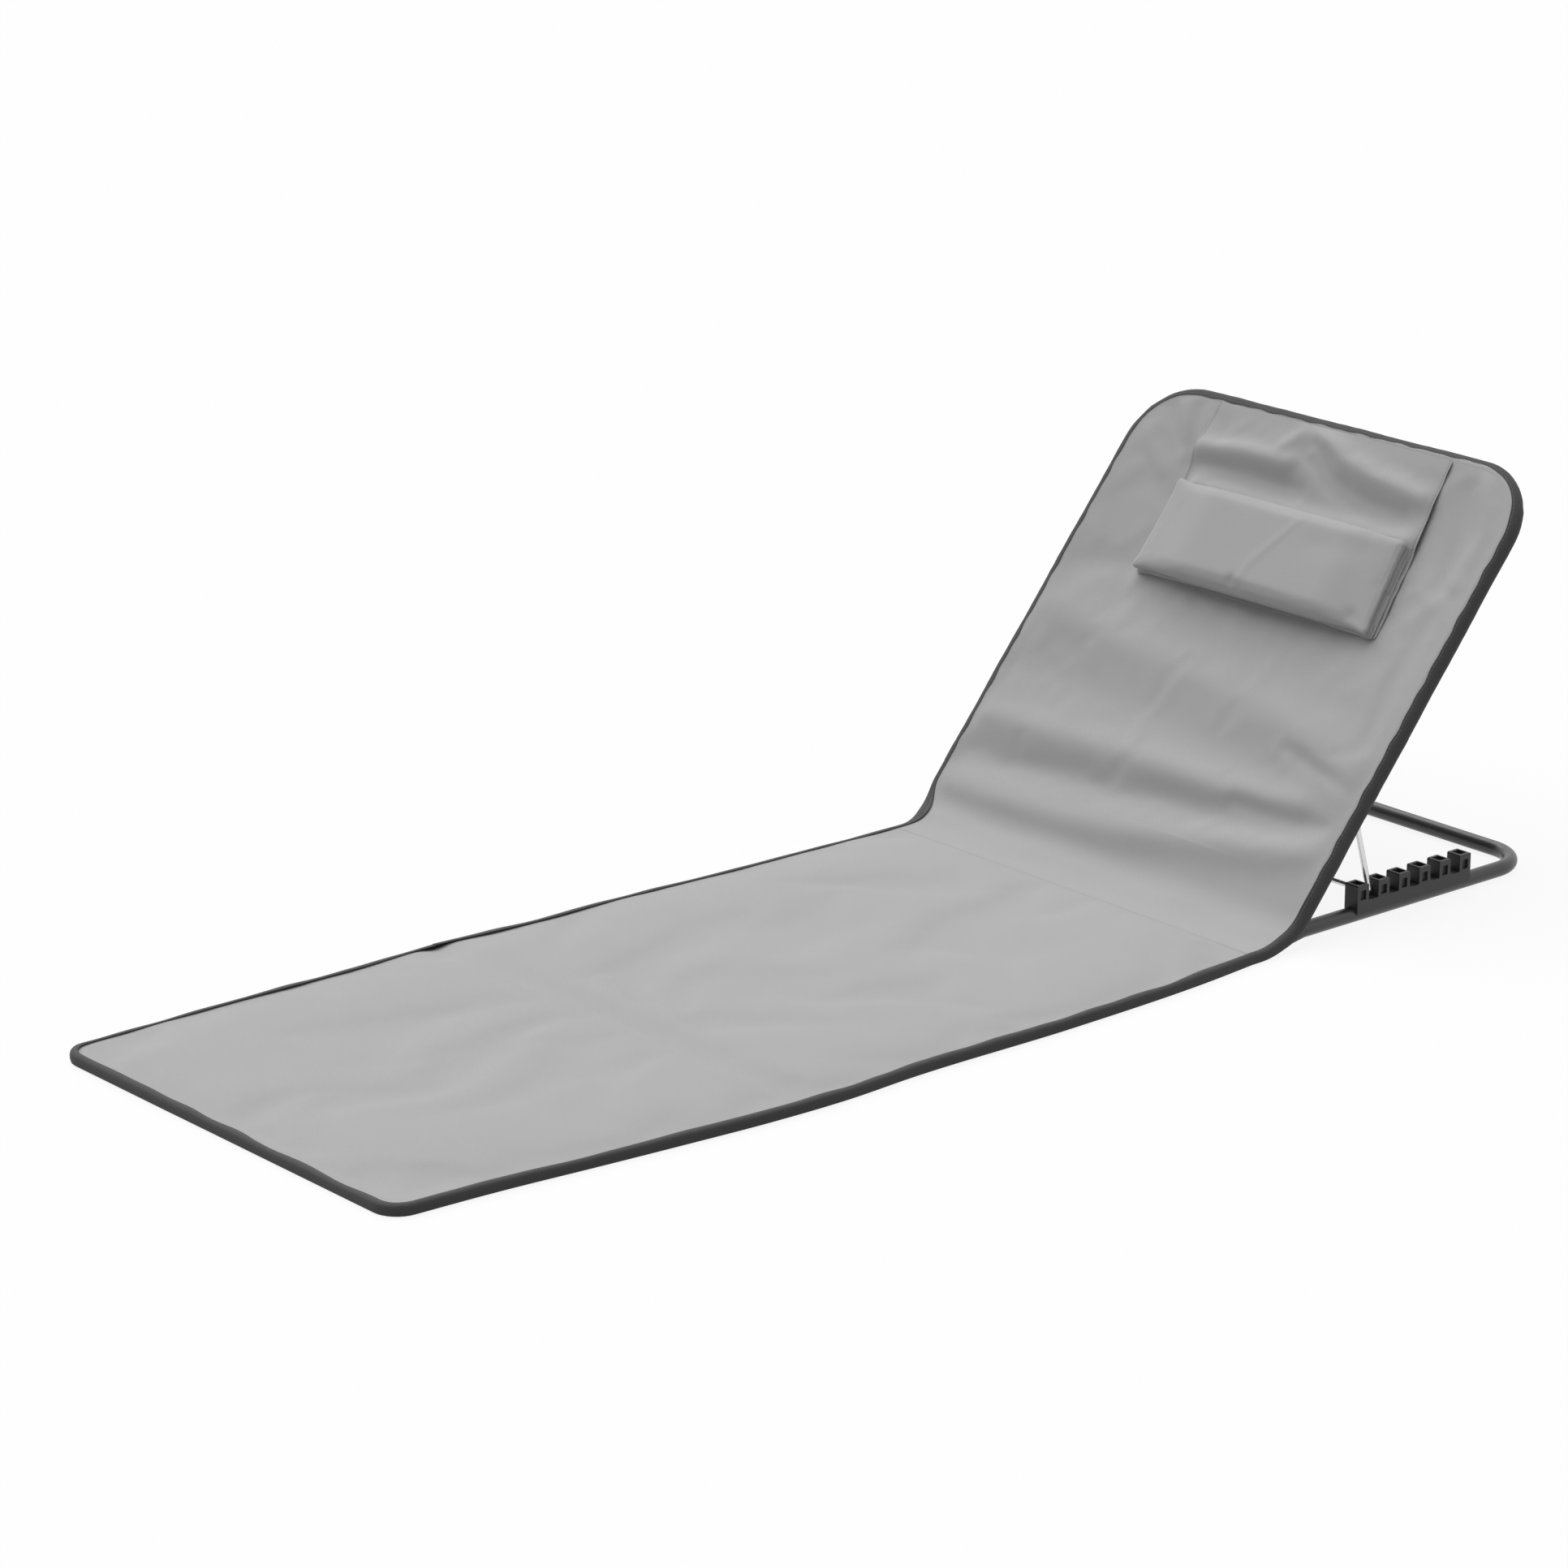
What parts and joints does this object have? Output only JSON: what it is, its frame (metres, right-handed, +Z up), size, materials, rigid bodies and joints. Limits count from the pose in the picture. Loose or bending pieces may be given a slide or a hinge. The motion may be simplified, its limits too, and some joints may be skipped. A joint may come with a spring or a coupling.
{
  "type": "folding floor recliner",
  "caption": "Folding padded floor mat with a propped tube-framed backrest, notched base frame, bent wire prop and a flap pillow.",
  "frame": {"origin": "floor level under the middle of the overall box", "axes": "+X from the foot end towards the backrest, +Y to the left when looking that way, +Z up"},
  "size_m": [1.475, 0.5552, 0.4276],
  "materials": {
    "light_cloth": "matte",
    "dark_cloth": "matte",
    "foam": "matte",
    "tube_paint": "satin",
    "moulded_rack": "satin",
    "bright_wire": "gloss",
    "rivet": "satin",
    "nylon": "satin"
  },
  "bodies": {
    "base": {"base_tube": "tube_paint", "rack_left": "moulded_rack", "rack_right": "moulded_rack", "rack_rivets": "rivet", "hinge_rivets": "rivet", "hinge_washers": "nylon"},
    "backrest": {"backrest_tube": "tube_paint", "prop_bushes": "nylon", "backrest_front_cloth": "light_cloth", "backrest_rear_cloth": "dark_cloth", "backrest_edge_sleeve": "dark_cloth"},
    "prop": {"prop_wire": "bright_wire"},
    "pillow": {"pillow_flap_sheet": "light_cloth", "pillow_cover": "light_cloth", "pillow_foam": "foam"},
    "strip": {"hinge_strip_cloth": "light_cloth", "hinge_strip_bindings": "dark_cloth"},
    "seat": {"seat_top_cloth": "light_cloth", "seat_foam": "foam", "seat_bottom_cloth": "dark_cloth", "seat_binding": "dark_cloth"},
    "foot": {"foot_top_cloth": "light_cloth", "foot_foam": "foam", "foot_bottom_cloth": "dark_cloth", "foot_binding": "dark_cloth"}
  },
  "joints": [
    {"name": "recline", "type": "hinge", "parent": "base", "child": "backrest", "pos_m": [0.3585, 0, 0.008], "axis": [0, 1, 0], "range_deg": [-110, 0]},
    {"name": "prop_swing", "type": "hinge", "parent": "backrest", "child": "prop", "pos_m": [0.46049, 0, 0.13128], "axis": [0, 1, 0], "range_deg": [0, 17]},
    {"name": "pillow_flip", "type": "hinge", "parent": "backrest", "child": "pillow", "pos_m": [0.69761, 0, 0.41791], "axis": [0, 1, 0], "range_deg": [0, 170]},
    {"name": "strip_fold", "type": "hinge", "parent": "base", "child": "strip", "pos_m": [0.3585, 0, 0.008], "axis": [0, 1, 0], "range_deg": [0, 40], "deforming": ["hinge_strip_cloth", "hinge_strip_bindings"]},
    {"name": "seat_fold", "type": "hinge", "parent": "strip", "child": "seat", "pos_m": [0.2985, 0, 0.017], "axis": [0, 1, 0], "range_deg": [0, 70]},
    {"name": "foot_fold", "type": "hinge", "parent": "seat", "child": "foot", "pos_m": [-0.2965, 0, 0.017], "axis": [0, 1, 0], "range_deg": [0, 178]}
  ],
  "couplings": [
    {"joint": "prop_swing", "follows": "recline", "ratio": -0.15}
  ]
}
